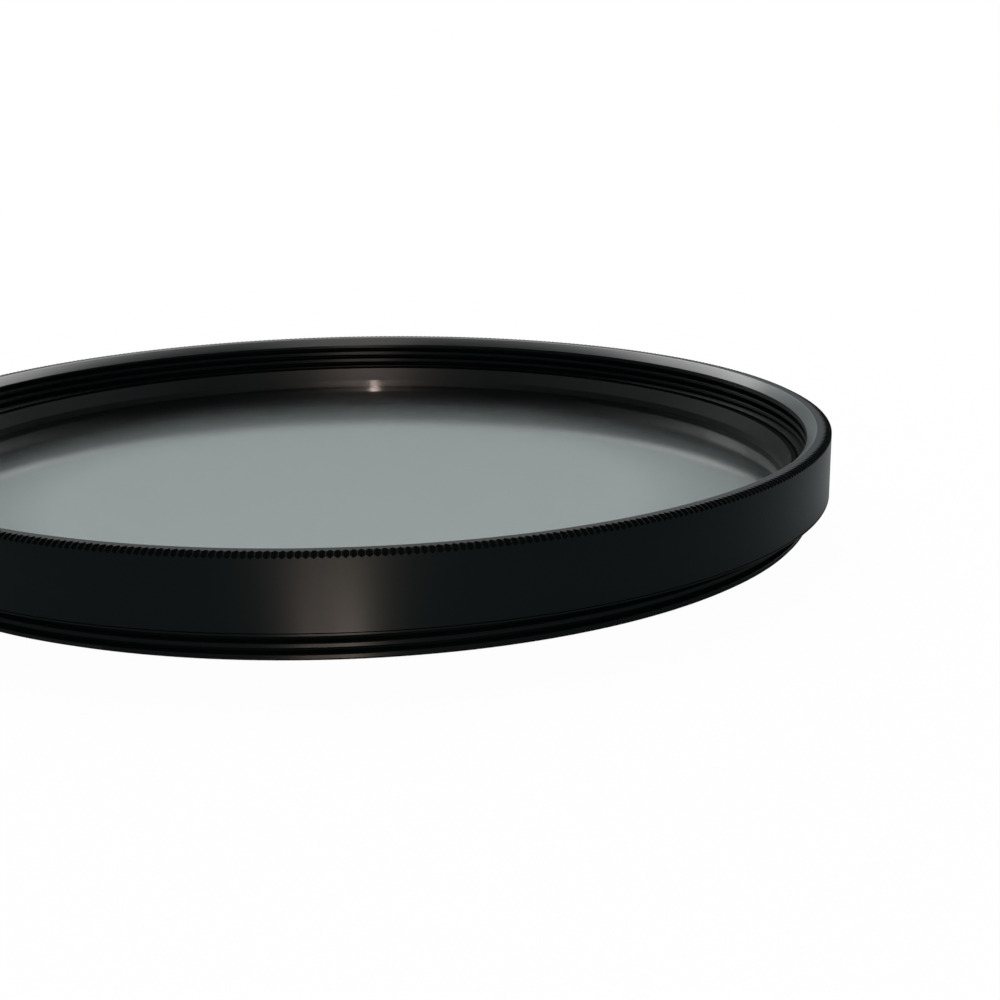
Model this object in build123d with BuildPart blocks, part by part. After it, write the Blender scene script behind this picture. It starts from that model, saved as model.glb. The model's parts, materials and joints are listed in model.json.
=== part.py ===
"""Screw-in lens filter: a turned aluminium ring, a glass disc and the threaded ring that holds it.

The filter lies on the end of its rear thread. Z is the optical axis, with the front rim on top,
and the origin is at the middle of the bottom. Sizes are in millimetres.
"""
import math
import os

from build123d import *

# Filter thread, the same on the front and on the rear, and its depths as shares of the pitch
thread_diameter = 77.0
thread_pitch = 0.75
thread_play = 0.03
inner_thread_share = 0.5413
outer_thread_share = 0.6134

# Band that the fingers hold
band_wall = 1.5
band_height = 5.3
band_edge = 0.2

# Rear thread, with its lead and the turned relief under the band
rear_thread_length = 2.3
rear_thread_lead = 0.35
relief_width = 0.35
relief_depth = 0.1

# Knurl across the top outer corner of the band
knurl_count = 520
knurl_height = 0.36
knurl_inset = 0.4
knurl_depth = 0.31
knurl_step = 0.05

# Front thread, with its lead and the ledge at its inner end
front_thread_lead = 0.7
front_thread_depth = 2.9
ledge_width = 0.6

# Glass and its seat above the rear end
glass_thickness = 1.3
glass_bevel = 0.15
glass_clearance = 0.1
seat_height = 1.5
seat_width = 0.8
seat_bevel = 0.3
pocket_step = 0.3
pocket_drop = 0.2

# Retaining ring, with its inner bevel and its two spanner slots
retainer_height = 1.8
retainer_clearance = 0.05
retainer_cover = 0.6
retainer_bevel_height = 1.2
retainer_bevel_width = 0.45
slot_width = 1.2
slot_depth = 0.6
slot_angle = 165.0

# Radii and heights that follow from the sizes above
thread_radius = thread_diameter / 2
front_wall_radius = thread_radius - inner_thread_share * thread_pitch
rear_crest_radius = thread_radius - thread_play
rear_root_radius = thread_radius - outer_thread_share * thread_pitch
relief_radius = rear_root_radius - relief_depth
band_radius = thread_radius + band_wall
knurl_base_radius = band_radius - knurl_step
rim_radius = band_radius - knurl_inset
overall_height = rear_thread_length + band_height
ledge_level = overall_height - front_thread_depth
knurl_base = overall_height - knurl_height
retainer_bore_radius = front_wall_radius - ledge_width
pocket_radius = retainer_bore_radius - pocket_step
glass_radius = pocket_radius - glass_clearance
aperture_radius = glass_radius - seat_width
glass_top = seat_height + glass_thickness
pocket_level = glass_top - pocket_drop
retainer_radius = retainer_bore_radius - retainer_clearance
retainer_inner_radius = glass_radius - retainer_cover
retainer_top = glass_top + retainer_height


def knurl_outline(ridge_radius, valley_radius):
    """Closed outline of the knurl at one height: a ridge and a valley for every tooth."""
    corners = []
    for index in range(2 * knurl_count):
        angle = math.pi * index / knurl_count
        radius = ridge_radius if index % 2 == 0 else valley_radius
        corners.append((radius * math.cos(angle), radius * math.sin(angle)))
    return corners


# Filter ring: the knurled crown, the band and rear thread below it, then everything bored out
with BuildPart() as filter_ring:
    with BuildSketch(Plane.XY.offset(knurl_base)):
        Polygon(*knurl_outline(knurl_base_radius, knurl_base_radius), align=None)
    with BuildSketch(Plane.XY.offset(overall_height)):
        Polygon(*knurl_outline(rim_radius, rim_radius - knurl_depth), align=None)
    loft(ruled=True)
    with BuildSketch(Plane.XZ):
        with BuildLine():
            Polyline(
                (0, 0),
                (rear_crest_radius - rear_thread_lead, 0),
                (rear_crest_radius, rear_thread_lead),
                (rear_crest_radius, rear_thread_length - relief_width),
                (relief_radius, rear_thread_length - relief_width),
                (relief_radius, rear_thread_length),
                (band_radius - band_edge, rear_thread_length),
                (band_radius, rear_thread_length + band_edge),
                (band_radius, knurl_base),
                (0, knurl_base),
                close=True,
            )
        make_face()
    revolve(axis=Axis.Z)
    with BuildSketch(Plane.XZ):
        with BuildLine():
            Polyline(
                (0, 0),
                (aperture_radius + seat_bevel, 0),
                (aperture_radius, seat_bevel),
                (aperture_radius, seat_height),
                (pocket_radius, seat_height),
                (pocket_radius, pocket_level),
                (retainer_bore_radius, pocket_level),
                (retainer_bore_radius, ledge_level),
                (front_wall_radius, ledge_level),
                (front_wall_radius, overall_height - front_thread_lead),
                (front_wall_radius + front_thread_lead, overall_height),
                (0, overall_height),
                close=True,
            )
        make_face()
    revolve(axis=Axis.Z, mode=Mode.SUBTRACT)

# Glass: a flat disc with its two sharp edges ground off
with BuildPart() as filter_glass:
    with BuildSketch(Plane.XY.offset(seat_height)):
        Circle(glass_radius)
    extrude(amount=glass_thickness)
    chamfer(filter_glass.edges().filter_by(GeomType.CIRCLE), glass_bevel)

# Retaining ring: a turned ring with a steep inner bevel and two slots for a spanner
with BuildPart() as retaining_ring:
    with BuildSketch(Plane.XZ):
        with BuildLine():
            Polyline(
                (retainer_inner_radius, glass_top),
                (retainer_radius, glass_top),
                (retainer_radius, retainer_top),
                (retainer_inner_radius + retainer_bevel_width, retainer_top),
                (retainer_inner_radius, retainer_top - retainer_bevel_height),
                close=True,
            )
        make_face()
    revolve(axis=Axis.Z)
    with BuildSketch(Plane.XY.offset(retainer_top)):
        Rectangle(2 * retainer_bore_radius, slot_width, rotation=slot_angle)
    extrude(amount=-slot_depth, mode=Mode.SUBTRACT)

os.makedirs("parts", exist_ok=True)
filter_ring.part.label = "filter_ring"
export_step(filter_ring.part, "parts/filter_ring.step")
filter_glass.part.label = "filter_glass"
export_step(filter_glass.part, "parts/filter_glass.step")
retaining_ring.part.label = "retaining_ring"
export_step(retaining_ring.part, "parts/retaining_ring.step")
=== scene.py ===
"""Looks of a screw-in lens filter: a knurled ring with helical threads, grey glass and a retaining ring.

Shapes are worked out in millimetres in the part's own frame, and become metres as each mesh is made.
"""
import json
import math

import bmesh
import bpy
from mathutils import Matrix, Vector


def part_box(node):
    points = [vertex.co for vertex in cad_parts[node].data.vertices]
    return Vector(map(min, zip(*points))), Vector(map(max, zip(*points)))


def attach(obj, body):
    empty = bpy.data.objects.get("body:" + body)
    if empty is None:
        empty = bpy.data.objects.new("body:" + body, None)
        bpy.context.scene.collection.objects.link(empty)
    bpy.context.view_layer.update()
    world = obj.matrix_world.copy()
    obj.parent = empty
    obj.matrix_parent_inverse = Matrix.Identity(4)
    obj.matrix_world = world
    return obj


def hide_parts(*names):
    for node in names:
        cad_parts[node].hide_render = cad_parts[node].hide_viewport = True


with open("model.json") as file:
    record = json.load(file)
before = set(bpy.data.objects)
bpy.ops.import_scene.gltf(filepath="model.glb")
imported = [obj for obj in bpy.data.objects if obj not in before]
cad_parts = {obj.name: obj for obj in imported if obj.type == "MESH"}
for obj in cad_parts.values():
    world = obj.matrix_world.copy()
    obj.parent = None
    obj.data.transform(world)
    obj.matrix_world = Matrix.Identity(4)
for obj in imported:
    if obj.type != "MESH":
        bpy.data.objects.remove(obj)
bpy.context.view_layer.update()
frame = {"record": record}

MM = 0.001

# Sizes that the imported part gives
mounts = {mount["name"]: mount for mount in frame["record"]["mounts"]}
rear_crest_radius = mounts["rear_thread"]["dims"]["r_mm"]
front_crest_radius = mounts["front_thread"]["dims"]["r_mm"]
band_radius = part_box("filter_ring")[1].x / MM
overall_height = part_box("filter_ring")[1].z / MM
glass_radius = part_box("filter_glass")[1].x / MM
glass_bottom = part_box("filter_glass")[0].z / MM
glass_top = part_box("filter_glass")[1].z / MM
retainer_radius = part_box("retaining_ring")[1].x / MM
retainer_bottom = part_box("retaining_ring")[0].z / MM
retainer_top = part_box("retaining_ring")[1].z / MM

# Threads: a ridge's form, as shares of the pitch and of its height, and a crest's level where a turn starts
thread_pitch = 0.75
ridge_form = (
    (0.08, 0.0),
    (0.29, 0.84),
    (0.315, 0.95),
    (0.35, 1.0),
    (0.65, 1.0),
    (0.685, 0.95),
    (0.71, 0.84),
    (0.92, 0.0),
)
rear_ridge_height = 0.43
rear_root_radius = rear_crest_radius - rear_ridge_height
rear_crest_height = 0.545
front_ridge_height = 0.406
front_root_radius = front_crest_radius + front_ridge_height
front_crest_height = 5.1

# Rear thread, relief groove and band, whose lower corner is a lip with a fine groove above it
rear_thread_lead = 0.2
rear_thread_end = 1.95
relief_depth = 0.1
relief_radius = rear_root_radius - relief_depth
band_bottom = 2.3
lip_bevel = 0.02
lip_height = 0.15
lip_groove_half = 0.035
lip_groove_depth = 0.05
edge_support = 0.08

# Knurl across the band's top outer corner: notches that deepen towards the rim, turned by a share of a tooth
knurl_count = 520
knurl_turn = 0.27
knurl_height = 0.36
knurl_base = overall_height - knurl_height
ridge_tip_rise = 0.16
ridge_tip_height = knurl_base + ridge_tip_rise
ridge_inset = 0.4
notch_depth = 0.31
ridge_half_width = 0.022

# Rim, front thread with its lead, ledge and glass seat
rim_bevel = 0.06
front_thread_lead = 0.7
front_thread_runout = 0.35
front_thread_depth = 2.9
ledge_level = overall_height - front_thread_depth
retainer_clearance = 0.05
retainer_bore_radius = retainer_radius + retainer_clearance
glass_clearance = 0.1
pocket_radius = glass_radius + glass_clearance
pocket_drop = 0.2
pocket_level = glass_top - pocket_drop
seat_width = 0.8
aperture_radius = glass_radius - seat_width
seat_bevel = 0.3
small_bevel = 0.04

# Glass, a hair inside its seat, and the retaining ring: its bevel, two slots and the rows on its flat top
glass_bevel = 0.15
glass_gap = 0.005
glass_segments = 360
retainer_cover = 0.6
retainer_inner_radius = glass_radius - retainer_cover
retainer_bevel_height = 1.2
retainer_bevel_width = 0.45
slot_half_width = 0.6
slot_depth = 0.6
slot_angle = math.radians(165.0)
retainer_steps = 240
retainer_flat_rows = (3, 4)

# Camera, taken from the photograph's ring edges
camera_place = Vector((0.0, -0.136012, 0.036732))
camera_yaw = 0.09430
camera_pitch = -0.26490
camera_roll = -0.00957
image_side = 1000
focal_pixels = 1646.3
sensor_width = 36.0
clip_start = 0.005

# Welding distance in metres, and the angles up to which edges are shaded smooth
weld_distance = 2e-8
round_angle = math.radians(33.0)
crisp_angle = math.radians(15.0)

# Finishes of the pieces' faces, as places in their lists of materials
satin, matte, dim, rim_cut, lead_cut, crest_cut = range(6)
polished, blackened = range(2)
coated, plain = range(2)

# How far from a cut surface or below a thread's crest a face may lie and still take its finish
cut_tolerance = 0.03
groove_tolerance = 0.06
crest_tolerance = 0.004

# Black anodising: its two tones, and the scales of its turning lines, grain and drifts of tone
black_low = (0.0010, 0.0020, 0.0024)
black_high = (0.0014, 0.0025, 0.0029)
line_scale = 26000.0
grain_scale = 9000.0
drift_scale = 60.0
grain_roughness = 0.1

# Grey glass: its two tints, and a slight roughness that softens what it mirrors
glass_low = (0.425, 0.44, 0.44, 1.0)
glass_high = (0.443, 0.46, 0.46, 1.0)
glass_drift_scale = 25.0
glass_roughness = 0.09

# Floor: its paint and its glow, and shares of the glow as pairs of a distance from the axis and a share.
# Distances are in metres.
seen_paint = (0.8, 0.8, 0.8, 1.0)
# Dark floor paint for every ray but the camera's: beside the ring, gloss sees it as painted shade.
bounce_and_shade_paint = (0.05, 0.05, 0.05, 1.0)
white_glow = (1.0, 1.0, 1.0, 1.0)
mirrored_glow = (0.89, 0.98, 0.97, 1.0)
outer_white = ((0.05, 0.975), (0.30, 1.0))
# The glow that gloss sees fades beside the ring: a painted contact shadow.
beside_ring_painted_shade = ((0.041, 0.05), (0.0505, 1.0))
# Under the glass the floor's glow fades towards the ring wall: painted shade.
under_glass_painted_shade = ((0.0245, 0.67), (0.0365, 0.03))
floor_half_side = 3.0
floor_level = -0.00002

# Sky that gloss and glass mirror: pairs of a rise and a level, from the horizon upwards
sky_stops = ((0.13, 0.47), (0.31, 0.44), (0.36, 1.4), (0.43, 1.2), (0.47, 0.07), (0.7, 0.03))
sky_tint = (0.89, 1.0, 0.99)


def turn_share(column):
    """Share of a full turn at which a column of the ring stands."""
    return (column + knurl_turn) / knurl_count


def around(radius, angle, height):
    """Point in metres at a radius, an angle and a height."""
    return Vector((radius * math.cos(angle), radius * math.sin(angle), height)) * MM


def ridge_share(phase):
    """Share of a ridge's height at a phase of the pitch, from 0 at the root to 1 on the crest."""
    for (start, low), (end, high) in zip(ridge_form, ridge_form[1:]):
        if start <= phase <= end:
            return low + (high - low) * (phase - start) / (end - start)
    return 0.0


def thread_rows(low, high, crest_height, radius_at):
    """Rows of a right-hand thread between two heights, which climb one pitch in each turn."""
    first = math.floor((low - crest_height) / thread_pitch) - 1
    last = math.ceil((high - crest_height) / thread_pitch) + 1
    rows = []
    for turn in range(first, last):
        for phase, _ in ridge_form:
            row = []
            for column in range(knurl_count + 1):
                share = turn_share(column)
                height = crest_height + thread_pitch * (turn + phase - 0.5 + share)
                height = min(max(height, low), high)
                place = (height - crest_height) / thread_pitch - share + 0.5
                row.append((radius_at(ridge_share(place % 1.0), height), height))
            rows.append(row)
    return rows


def rear_thread_radius(ridge, height):
    """Radius of the rear thread: its ridges are turned down by the lead at the end."""
    lead = rear_crest_radius - rear_thread_lead + height
    return min(rear_root_radius + (rear_crest_radius - rear_root_radius) * ridge, lead)


def front_thread_radius(ridge, height):
    """Radius of the front thread: its ridges point inwards, and its grooves run out below the lead."""
    runout = min((overall_height - front_thread_lead - height) / front_thread_runout, 1.0)
    return front_crest_radius + (front_root_radius - front_crest_radius) * (1.0 - ridge) * runout


def plain_rows(points):
    """Rows that stay at one radius and one height all the way round."""
    return [[point] * (knurl_count + 1) for point in points]


def add_sheet(mesh, rows, finish):
    """Adds rows of points as a sheet round the axis with one finish, and returns its vertices row by row."""
    grid = []
    for row in rows:
        ring = []
        for column, (radius, height) in enumerate(row):
            ring.append(mesh.verts.new(around(radius, math.tau * turn_share(column), height)))
        grid.append(ring)
    for below, above in zip(grid, grid[1:]):
        for column in range(knurl_count):
            face = mesh.faces.new((below[column], below[column + 1], above[column + 1], above[column]))
            face.material_index = finish
    return grid


def add_knurl(mesh, band_ring, valley_ring):
    """Adds the teeth: each ridge is a tongue of the band that ends in a narrow crest up to the rim."""
    crest_radius = band_radius - ridge_inset
    foot_half = ridge_half_width / band_radius
    crest_half = ridge_half_width / crest_radius
    notches = []
    for column in range(knurl_count + 1):
        notches.append(mesh.verts.new(around(band_radius, math.tau * turn_share(column), knurl_base)))
    for column in range(knurl_count):
        middle = math.tau * turn_share(column + 0.5)
        low_left = mesh.verts.new(around(band_radius, middle - foot_half, ridge_tip_height))
        low_right = mesh.verts.new(around(band_radius, middle + foot_half, ridge_tip_height))
        top_left = mesh.verts.new(around(crest_radius, middle - crest_half, overall_height))
        top_right = mesh.verts.new(around(crest_radius, middle + crest_half, overall_height))
        near, far = notches[column], notches[column + 1]
        mesh.faces.new((band_ring[column], band_ring[column + 1], far, near))
        mesh.faces.new((near, far, low_right, low_left))
        crest = mesh.faces.new((low_left, low_right, top_right, top_left))
        left_wall = mesh.faces.new((near, low_left, top_left, valley_ring[column]))
        right_wall = mesh.faces.new((far, valley_ring[column + 1], top_right, low_right))
        crest.material_index = dim
        # The notch walls take the darker, duller matte black; its darker tone is painted shade.
        left_wall.material_index = matte
        right_wall.material_index = matte
        mesh.faces.new((valley_ring[column], top_left, top_right, valley_ring[column + 1]))


def mark_finishes(mesh):
    """Gives cut surfaces and thread crests their own finishes, and the outside's grooves a darker matte
    black.
    """
    outside_thread = (pocket_radius + groove_tolerance, rear_crest_radius + cut_tolerance)
    for face in mesh.faces:
        centre = face.calc_center_median() / MM
        radius = math.hypot(centre.x, centre.y)
        front_lead = front_crest_radius + front_thread_lead + centre.z - overall_height
        rear_face = min(rear_crest_radius, rear_crest_radius - rear_thread_lead + centre.z)
        if centre.z > overall_height - cut_tolerance:
            face.material_index = rim_cut
        elif centre.z > overall_height - front_thread_lead and abs(radius - front_lead) < cut_tolerance:
            face.material_index = lead_cut
        elif centre.z < band_bottom and outside_thread[0] < radius < outside_thread[1]:
            if radius < rear_face - groove_tolerance:
                face.material_index = matte
            elif radius < rear_face - crest_tolerance:
                face.material_index = crest_cut
        elif ledge_level < centre.z and radius < front_crest_radius + groove_tolerance:
            face.material_index = satin
        elif abs(centre.z - band_bottom - lip_height) < lip_groove_half and radius > rear_crest_radius:
            face.material_index = matte


def finish_mesh(name, mesh, smooth_angle):
    """Welds a mesh, turns its faces outwards, shades it smooth between edges and links it as an object."""
    bmesh.ops.remove_doubles(mesh, verts=mesh.verts, dist=weld_distance)
    bmesh.ops.recalc_face_normals(mesh, faces=mesh.faces)
    for face in mesh.faces:
        face.smooth = True
    data = bpy.data.meshes.new(name)
    mesh.to_mesh(data)
    mesh.free()
    data.set_sharp_from_angle(angle=smooth_angle)
    piece = bpy.data.objects.new(name, data)
    bpy.context.scene.collection.objects.link(piece)
    return piece


def make_ring():
    """Filter ring: rear thread, band, knurl, rim, front thread and glass seat in one closed skin."""
    mesh = bmesh.new()
    bottom_edge = (aperture_radius + seat_bevel, 0.0)
    outside = plain_rows([bottom_edge])
    outside += thread_rows(0.0, rear_thread_end, rear_crest_height, rear_thread_radius)
    outside += plain_rows([
        (relief_radius, rear_thread_end),
        (relief_radius, band_bottom),
        (band_radius - lip_bevel, band_bottom),
        (band_radius, band_bottom + lip_bevel),
        (band_radius, band_bottom + lip_height - lip_groove_half),
        (band_radius - lip_groove_depth, band_bottom + lip_height),
        (band_radius, band_bottom + lip_height + lip_groove_half),
        (band_radius, band_bottom + lip_height + lip_groove_half + edge_support),
    ])
    lead_radius = front_crest_radius + front_thread_lead
    thread_top = overall_height - front_thread_lead
    rim = plain_rows([
        (band_radius - ridge_inset - notch_depth, overall_height),
        (lead_radius + rim_bevel + edge_support, overall_height),
        (lead_radius + rim_bevel, overall_height),
        (lead_radius - rim_bevel, overall_height - rim_bevel),
        (front_crest_radius, thread_top),
    ])
    thread = thread_rows(ledge_level, thread_top, front_crest_height, front_thread_radius)
    thread.reverse()
    seat = thread[-1:] + plain_rows([
        (retainer_bore_radius + small_bevel, ledge_level),
        (retainer_bore_radius, ledge_level - small_bevel),
        (retainer_bore_radius, pocket_level),
        (pocket_radius, pocket_level),
        (pocket_radius, glass_bottom),
        (aperture_radius + small_bevel, glass_bottom),
        (aperture_radius, glass_bottom - small_bevel),
        (aperture_radius, seat_bevel),
        bottom_edge,
    ])
    band_ring = add_sheet(mesh, outside, satin)[-1]
    valley_ring = add_sheet(mesh, rim, satin)[0]
    add_sheet(mesh, thread, matte)
    add_sheet(mesh, seat, matte)
    add_knurl(mesh, band_ring, valley_ring)
    mark_finishes(mesh)
    return finish_mesh("ring_body", mesh, round_angle)


def make_glass():
    """Glass disc with ground, blackened edges."""
    low = glass_bottom + glass_gap
    high = glass_top - glass_gap
    profile = (
        (0.0, low),
        (glass_radius - glass_bevel, low),
        (glass_radius, low + glass_bevel),
        (glass_radius, high - glass_bevel),
        (glass_radius - glass_bevel, high),
        (0.0, high),
    )
    mesh = bmesh.new()
    grid = []
    for radius, height in profile:
        ring = []
        for column in range(glass_segments + 1):
            ring.append(mesh.verts.new(around(radius, math.tau * column / glass_segments, height)))
        grid.append(ring)
    for row, (below, above) in enumerate(zip(grid, grid[1:])):
        for column in range(glass_segments):
            face = mesh.faces.new((below[column], below[column + 1], above[column + 1], above[column]))
            face.material_index = blackened if 0 < row < len(grid) - 2 else polished
    return finish_mesh("glass_disc", mesh, crisp_angle)


def retainer_profile(is_slot):
    """Section of the retaining ring, cut down to the slot's floor where the slot crosses it."""
    bevel_start = retainer_top - retainer_bevel_height
    floor = retainer_top - slot_depth
    floor_share = (floor - bevel_start) / retainer_bevel_height
    inner_floor = (retainer_inner_radius + retainer_bevel_width * floor_share, floor)
    outer_floor = (retainer_radius, floor)
    top = [
        (retainer_inner_radius + retainer_bevel_width, retainer_top),
        (retainer_radius - small_bevel, retainer_top),
        (retainer_radius, retainer_top - small_bevel),
    ]
    if is_slot:
        top = [inner_floor, outer_floor, outer_floor]
    start = [
        (retainer_inner_radius, retainer_bottom),
        (retainer_inner_radius, bevel_start),
        inner_floor,
    ]
    end = [
        outer_floor,
        (retainer_radius, retainer_bottom),
        (retainer_inner_radius, retainer_bottom),
    ]
    return start + top + end


def make_retainer():
    """Retaining ring with a steep inner bevel and two slots for a spanner."""
    stations = []
    for slot in (slot_angle, slot_angle + math.pi):
        edge = math.asin(slot_half_width / retainer_radius)
        for side in (-1, 0, 1):
            stations.append((slot, side * slot_half_width, True))
        stations.append((slot, slot_half_width, False))
        for step in range(1, retainer_steps):
            stations.append((slot + edge + (math.pi - 2 * edge) * step / retainer_steps, 0.0, False))
        stations.append((slot + math.pi, -slot_half_width, False))
    mesh = bmesh.new()
    grid = []
    for centre, offset, is_slot in stations:
        column = []
        for radius, height in retainer_profile(is_slot):
            column.append(mesh.verts.new(around(radius, centre + math.asin(offset / radius), height)))
        grid.append(column)
    for index, here in enumerate(grid):
        there = grid[(index + 1) % len(grid)]
        for row in range(len(here) - 1):
            face = mesh.faces.new((here[row], there[row], there[row + 1], here[row + 1]))
            face.material_index = plain if row in retainer_flat_rows else coated
    return finish_mesh("clamp_ring", mesh, crisp_angle)


def put(tree, kind, sockets, **settings):
    """Adds a node, sets it, and fills its inputs with values or links."""
    node = tree.nodes.new(kind)
    for name, value in settings.items():
        setattr(node, name, value)
    for key, value in sockets.items():
        if isinstance(value, bpy.types.NodeSocket):
            tree.links.new(value, node.inputs[key])
        else:
            node.inputs[key].default_value = value
    return node


def calculate(tree, operation, *values):
    """Adds a math node and returns its result."""
    return put(tree, "ShaderNodeMath", dict(enumerate(values)), operation=operation).outputs["Value"]


def blend(tree, data_type, factor, low, high):
    """Adds a mix node from one number or colour to another, and returns its result."""
    sockets = {"Factor": factor, "A": low, "B": high}
    return put(tree, "ShaderNodeMix", sockets, data_type=data_type).outputs["Result"]


def ramp(tree, value, start, end):
    """Runs from one number to another between two places of a value, and holds them beyond."""
    node = put(tree, "ShaderNodeMapRange", {
        "Value": value,
        "From Min": start[0],
        "From Max": end[0],
        "To Min": start[1],
        "To Max": end[1],
    })
    return node.outputs["Result"]


def new_material(name):
    """Empty node material and its tree."""
    material = bpy.data.materials.new(name)
    material.use_nodes = True
    material.node_tree.nodes.clear()
    return material, material.node_tree


def axis_distance(tree, place):
    """Distance of a place from the optical axis, and its height."""
    axis = put(tree, "ShaderNodeSeparateXYZ", {"Vector": place})
    flat = put(tree, "ShaderNodeCombineXYZ", {"X": axis.outputs["X"], "Y": axis.outputs["Y"]})
    length = put(tree, "ShaderNodeVectorMath", {0: flat.outputs["Vector"]}, operation="LENGTH")
    return length.outputs["Value"], axis.outputs["Z"]


def make_anodised(name, rough, gloss, streak=0.0, depth=1.0, coat=0.0):
    """Black anodised aluminium: fine turning lines, a faint grain and slow drifts of tone.

    Its roughness runs from the first to the second value of rough between the band's bottom and the rim.
    """
    material, tree = new_material(name)
    place = put(tree, "ShaderNodeTexCoord", {}).outputs["Object"]
    radius, height = axis_distance(tree, place)
    section = put(tree, "ShaderNodeCombineXYZ", {"X": radius, "Y": height})
    lines = put(tree, "ShaderNodeTexNoise",
                {"Vector": section.outputs["Vector"], "Scale": line_scale, "Detail": 2.0},
                noise_dimensions="2D").outputs["Fac"]
    grain = put(tree, "ShaderNodeTexNoise",
                {"Vector": place, "Scale": grain_scale, "Detail": 2.0}).outputs["Fac"]
    drift = put(tree, "ShaderNodeTexNoise",
                {"Vector": place, "Scale": drift_scale, "Detail": 3.0}).outputs["Fac"]
    low_tone = tuple(level * depth for level in black_low) + (1.0,)
    high_tone = tuple(level * depth for level in black_high) + (1.0,)
    even = ramp(tree, height, (band_bottom * MM, rough[0]), (overall_height * MM, rough[1]))
    bump = put(tree, "ShaderNodeBump",
               {"Height": calculate(tree, "ADD", lines, grain), "Strength": 0.03, "Distance": 0.00002})
    turned = put(tree, "ShaderNodeTangent", {}, direction_type="RADIAL", axis="Z")
    shader = put(tree, "ShaderNodeBsdfPrincipled", {
        "Base Color": blend(tree, "RGBA", drift, low_tone, high_tone),
        "Roughness": calculate(tree, "MULTIPLY_ADD", grain, grain_roughness, even),
        "Normal": bump.outputs["Normal"],
        "Specular IOR Level": gloss,
        "Coat Weight": coat,
        "Coat Roughness": 0.08,
        "Anisotropic": streak,
        "Anisotropic Rotation": 0.25,
        "Tangent": turned.outputs["Tangent"],
    })
    put(tree, "ShaderNodeOutputMaterial", {"Surface": shader.outputs["BSDF"]})
    return material


def make_glass_material():
    """Neutral grey glass with a barely uneven tint."""
    material, tree = new_material("grey_glass")
    place = put(tree, "ShaderNodeTexCoord", {}).outputs["Object"]
    drift = put(tree, "ShaderNodeTexNoise",
                {"Vector": place, "Scale": glass_drift_scale, "Detail": 1.0}).outputs["Fac"]
    shader = put(tree, "ShaderNodeBsdfPrincipled", {
        "Base Color": blend(tree, "RGBA", drift, glass_low, glass_high),
        "Roughness": glass_roughness,
        "IOR": 1.5,
        "Transmission Weight": 1.0,
    })
    put(tree, "ShaderNodeOutputMaterial", {"Surface": shader.outputs["BSDF"]})
    return material


def seen_share(tree):
    """One on the rays that show the background: from the camera, off gloss and through glass."""
    path = put(tree, "ShaderNodeLightPath", {})
    first = calculate(tree, "MAXIMUM", path.outputs["Is Camera Ray"], path.outputs["Is Glossy Ray"])
    return calculate(tree, "MAXIMUM", first, path.outputs["Is Transmission Ray"])


def make_floor_material():
    """Floor that shows white all round, keeps a pale shadow, and has painted shade near the ring."""
    material, tree = new_material("white_floor")
    place = put(tree, "ShaderNodeTexCoord", {}).outputs["Object"]
    radius, _ = axis_distance(tree, place)
    path = put(tree, "ShaderNodeLightPath", {})
    is_camera = path.outputs["Is Camera Ray"]
    # Beside the ring, gloss sees less glow and more dark paint: painted shade.
    beside_ring = blend(tree, "FLOAT", is_camera, ramp(tree, radius, *beside_ring_painted_shade), 1.0)
    outside = calculate(tree, "MULTIPLY", ramp(tree, radius, *outer_white), beside_ring)
    is_inside = calculate(tree, "LESS_THAN", radius, rear_root_radius * MM)
    # Under the glass the glow falls off towards the ring wall as painted shade.
    white_and_shade_share = blend(tree, "FLOAT", is_inside, outside, ramp(tree, radius, *under_glass_painted_shade))
    glow_share = calculate(tree, "MULTIPLY", seen_share(tree), white_and_shade_share)
    paint = blend(tree, "RGBA", is_camera, bounce_and_shade_paint, seen_paint)
    diffuse = put(tree, "ShaderNodeBsdfDiffuse", {"Color": paint})
    white = blend(tree, "RGBA", path.outputs["Is Glossy Ray"], white_glow, mirrored_glow)
    glow = put(tree, "ShaderNodeEmission", {"Color": white, "Strength": 1.0})
    mixed = put(tree, "ShaderNodeMixShader",
                {0: glow_share, 1: diffuse.outputs["BSDF"], 2: glow.outputs["Emission"]})
    put(tree, "ShaderNodeOutputMaterial", {"Surface": mixed.outputs["Shader"]})
    return material


def make_floor():
    """Wide floor that the filter lies on, as staging."""
    half = floor_half_side
    corners = [(x, y, floor_level) for x, y in ((-half, -half), (half, -half), (half, half), (-half, half))]
    data = bpy.data.meshes.new("floor")
    data.from_pydata(corners, [], [(0, 1, 2, 3)])
    data.materials.append(make_floor_material())
    floor = bpy.data.objects.new("floor", data)
    bpy.context.scene.collection.objects.link(floor)


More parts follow.
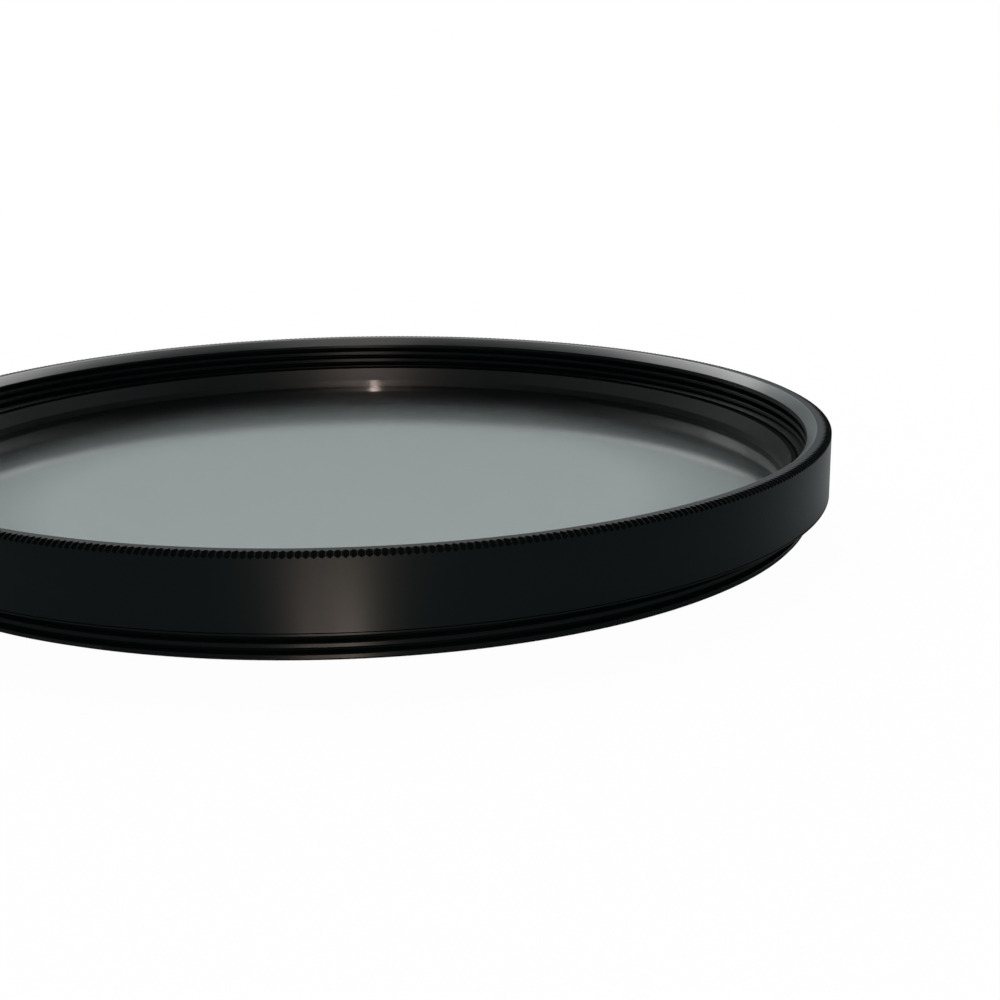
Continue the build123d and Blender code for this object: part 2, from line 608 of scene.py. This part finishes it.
def make_world():
    """White surroundings for the camera, a cool sky for gloss and glass, and a faint light elsewhere."""
    world = bpy.data.worlds.new("studio")
    world.use_nodes = True
    tree = world.node_tree
    tree.nodes.clear()
    way = put(tree, "ShaderNodeTexCoord", {}).outputs["Generated"]
    rise = put(tree, "ShaderNodeSeparateXYZ", {"Vector": way}).outputs["Z"]
    sky = put(tree, "ShaderNodeValToRGB", {"Fac": rise})
    stops = sky.color_ramp.elements
    while len(stops) < len(sky_stops):
        stops.new(0.5)
    for stop, (place, level) in zip(stops, sky_stops):
        stop.position = place
        stop.color = tuple(level * share for share in sky_tint) + (1.0,)
    fill = put(tree, "ShaderNodeBackground", {"Color": (0.9, 0.95, 1.0, 1.0), "Strength": 0.03})
    mirrored = put(tree, "ShaderNodeBackground", {"Color": sky.outputs["Color"], "Strength": 1.0})
    white = put(tree, "ShaderNodeBackground", {"Color": (1.0, 1.0, 1.0, 1.0), "Strength": 1.0})
    indirect = put(tree, "ShaderNodeMixShader",
                   {0: seen_share(tree), 1: fill.outputs["Background"], 2: mirrored.outputs["Background"]})
    path = put(tree, "ShaderNodeLightPath", {})
    mixed = put(tree, "ShaderNodeMixShader", {
        0: path.outputs["Is Camera Ray"],
        1: indirect.outputs["Shader"],
        2: white.outputs["Background"],
    })
    put(tree, "ShaderNodeOutputWorld", {"Surface": mixed.outputs["Shader"]})
    bpy.context.scene.world = world


def add_lamp(name, place, target, size, power, color):
    """Flat lamp of a width and a height that faces a target."""
    lamp = bpy.data.lights.new(name, "AREA")
    lamp.shape = "RECTANGLE"
    lamp.size, lamp.size_y = size
    lamp.energy = power
    lamp.color = color
    holder = bpy.data.objects.new(name, lamp)
    holder.location = place
    holder.rotation_euler = (Vector(target) - Vector(place)).to_track_quat("-Z", "Y").to_euler()
    bpy.context.scene.collection.objects.link(holder)


def make_camera():
    """Camera at the photograph's place and angle."""
    forward = Vector((
        math.sin(camera_yaw) * math.cos(camera_pitch),
        math.cos(camera_yaw) * math.cos(camera_pitch),
        math.sin(camera_pitch),
    ))
    level_right = Vector((math.cos(camera_yaw), -math.sin(camera_yaw), 0.0))
    level_up = level_right.cross(forward)
    right = level_right * math.cos(camera_roll) + level_up * math.sin(camera_roll)
    up = level_up * math.cos(camera_roll) - level_right * math.sin(camera_roll)
    data = bpy.data.cameras.new("camera")
    data.sensor_width = sensor_width
    data.lens = sensor_width * focal_pixels / image_side
    data.clip_start = clip_start
    camera = bpy.data.objects.new("camera", data)
    turn = Matrix((right, up, -forward)).transposed().to_4x4()
    camera.matrix_world = Matrix.Translation(camera_place) @ turn
    bpy.context.scene.collection.objects.link(camera)
    bpy.context.scene.camera = camera


def dress(piece, materials, node):
    """Gives a piece its materials, hides the part's node that it stands in for, and hangs it on the root
    body.
    """
    for material in materials:
        piece.data.materials.append(material)
    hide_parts(node)
    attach(piece, "root")


# Each list of materials is in the order of the finishes named above
ring_finishes = (
    make_anodised("black_satin", rough=(0.365, 0.48), gloss=0.078, streak=1.0),
    # Darker, duller black: in the grooves, notches, front thread and glass seat its darker tone is painted
    # shade
    make_anodised("black_matte", rough=(0.53, 0.53), gloss=0.006, depth=0.4),
    make_anodised("black_dim", rough=(0.42, 0.42), gloss=0.04, streak=1.0, depth=0.6),
    make_anodised("black_rim", rough=(0.32, 0.32), gloss=0.05, streak=0.85),
    make_anodised("black_lead", rough=(0.28, 0.28), gloss=0.42, streak=0.85),
    make_anodised("black_crest", rough=(0.26, 0.26), gloss=0.40),
)
retainer_finishes = (
    make_anodised("black_coated", rough=(0.37, 0.37), gloss=0.16, streak=0.65, coat=0.06),
    ring_finishes[matte],
)
glass_finishes = (
    make_glass_material(),
    make_anodised("black_edge", rough=(0.60, 0.60), gloss=0.01, depth=0.4),
)
dress(make_ring(), ring_finishes, "filter_ring")
dress(make_retainer(), retainer_finishes, "retaining_ring")
dress(make_glass(), glass_finishes, "filter_glass")
make_floor()
make_world()
add_lamp("softbox", place=(0.0, 0.42, 0.43), target=(0.0, 0.0, 0.0),
         size=(0.75, 0.34), power=4.8, color=(1.0, 1.0, 1.0))
add_lamp("overhead", place=(0.0, -0.08, 0.6), target=(0.0, 0.0, 0.0),
         size=(0.2, 0.16), power=0.4, color=(0.96, 1.0, 1.0))
add_lamp("warm_front", place=(-0.008, -0.54, 0.026), target=(0.0, -0.04, 0.004),
         size=(0.04, 0.04), power=3.8, color=(1.0, 0.83, 0.69))
add_lamp("warm_side", place=(-0.084, -0.547, 0.109), target=(0.003, 0.036, 0.003),
         size=(0.016, 0.016), power=2.4, color=(1.0, 0.80, 0.72))
make_camera()
bpy.context.scene.view_settings.view_transform = "Standard"
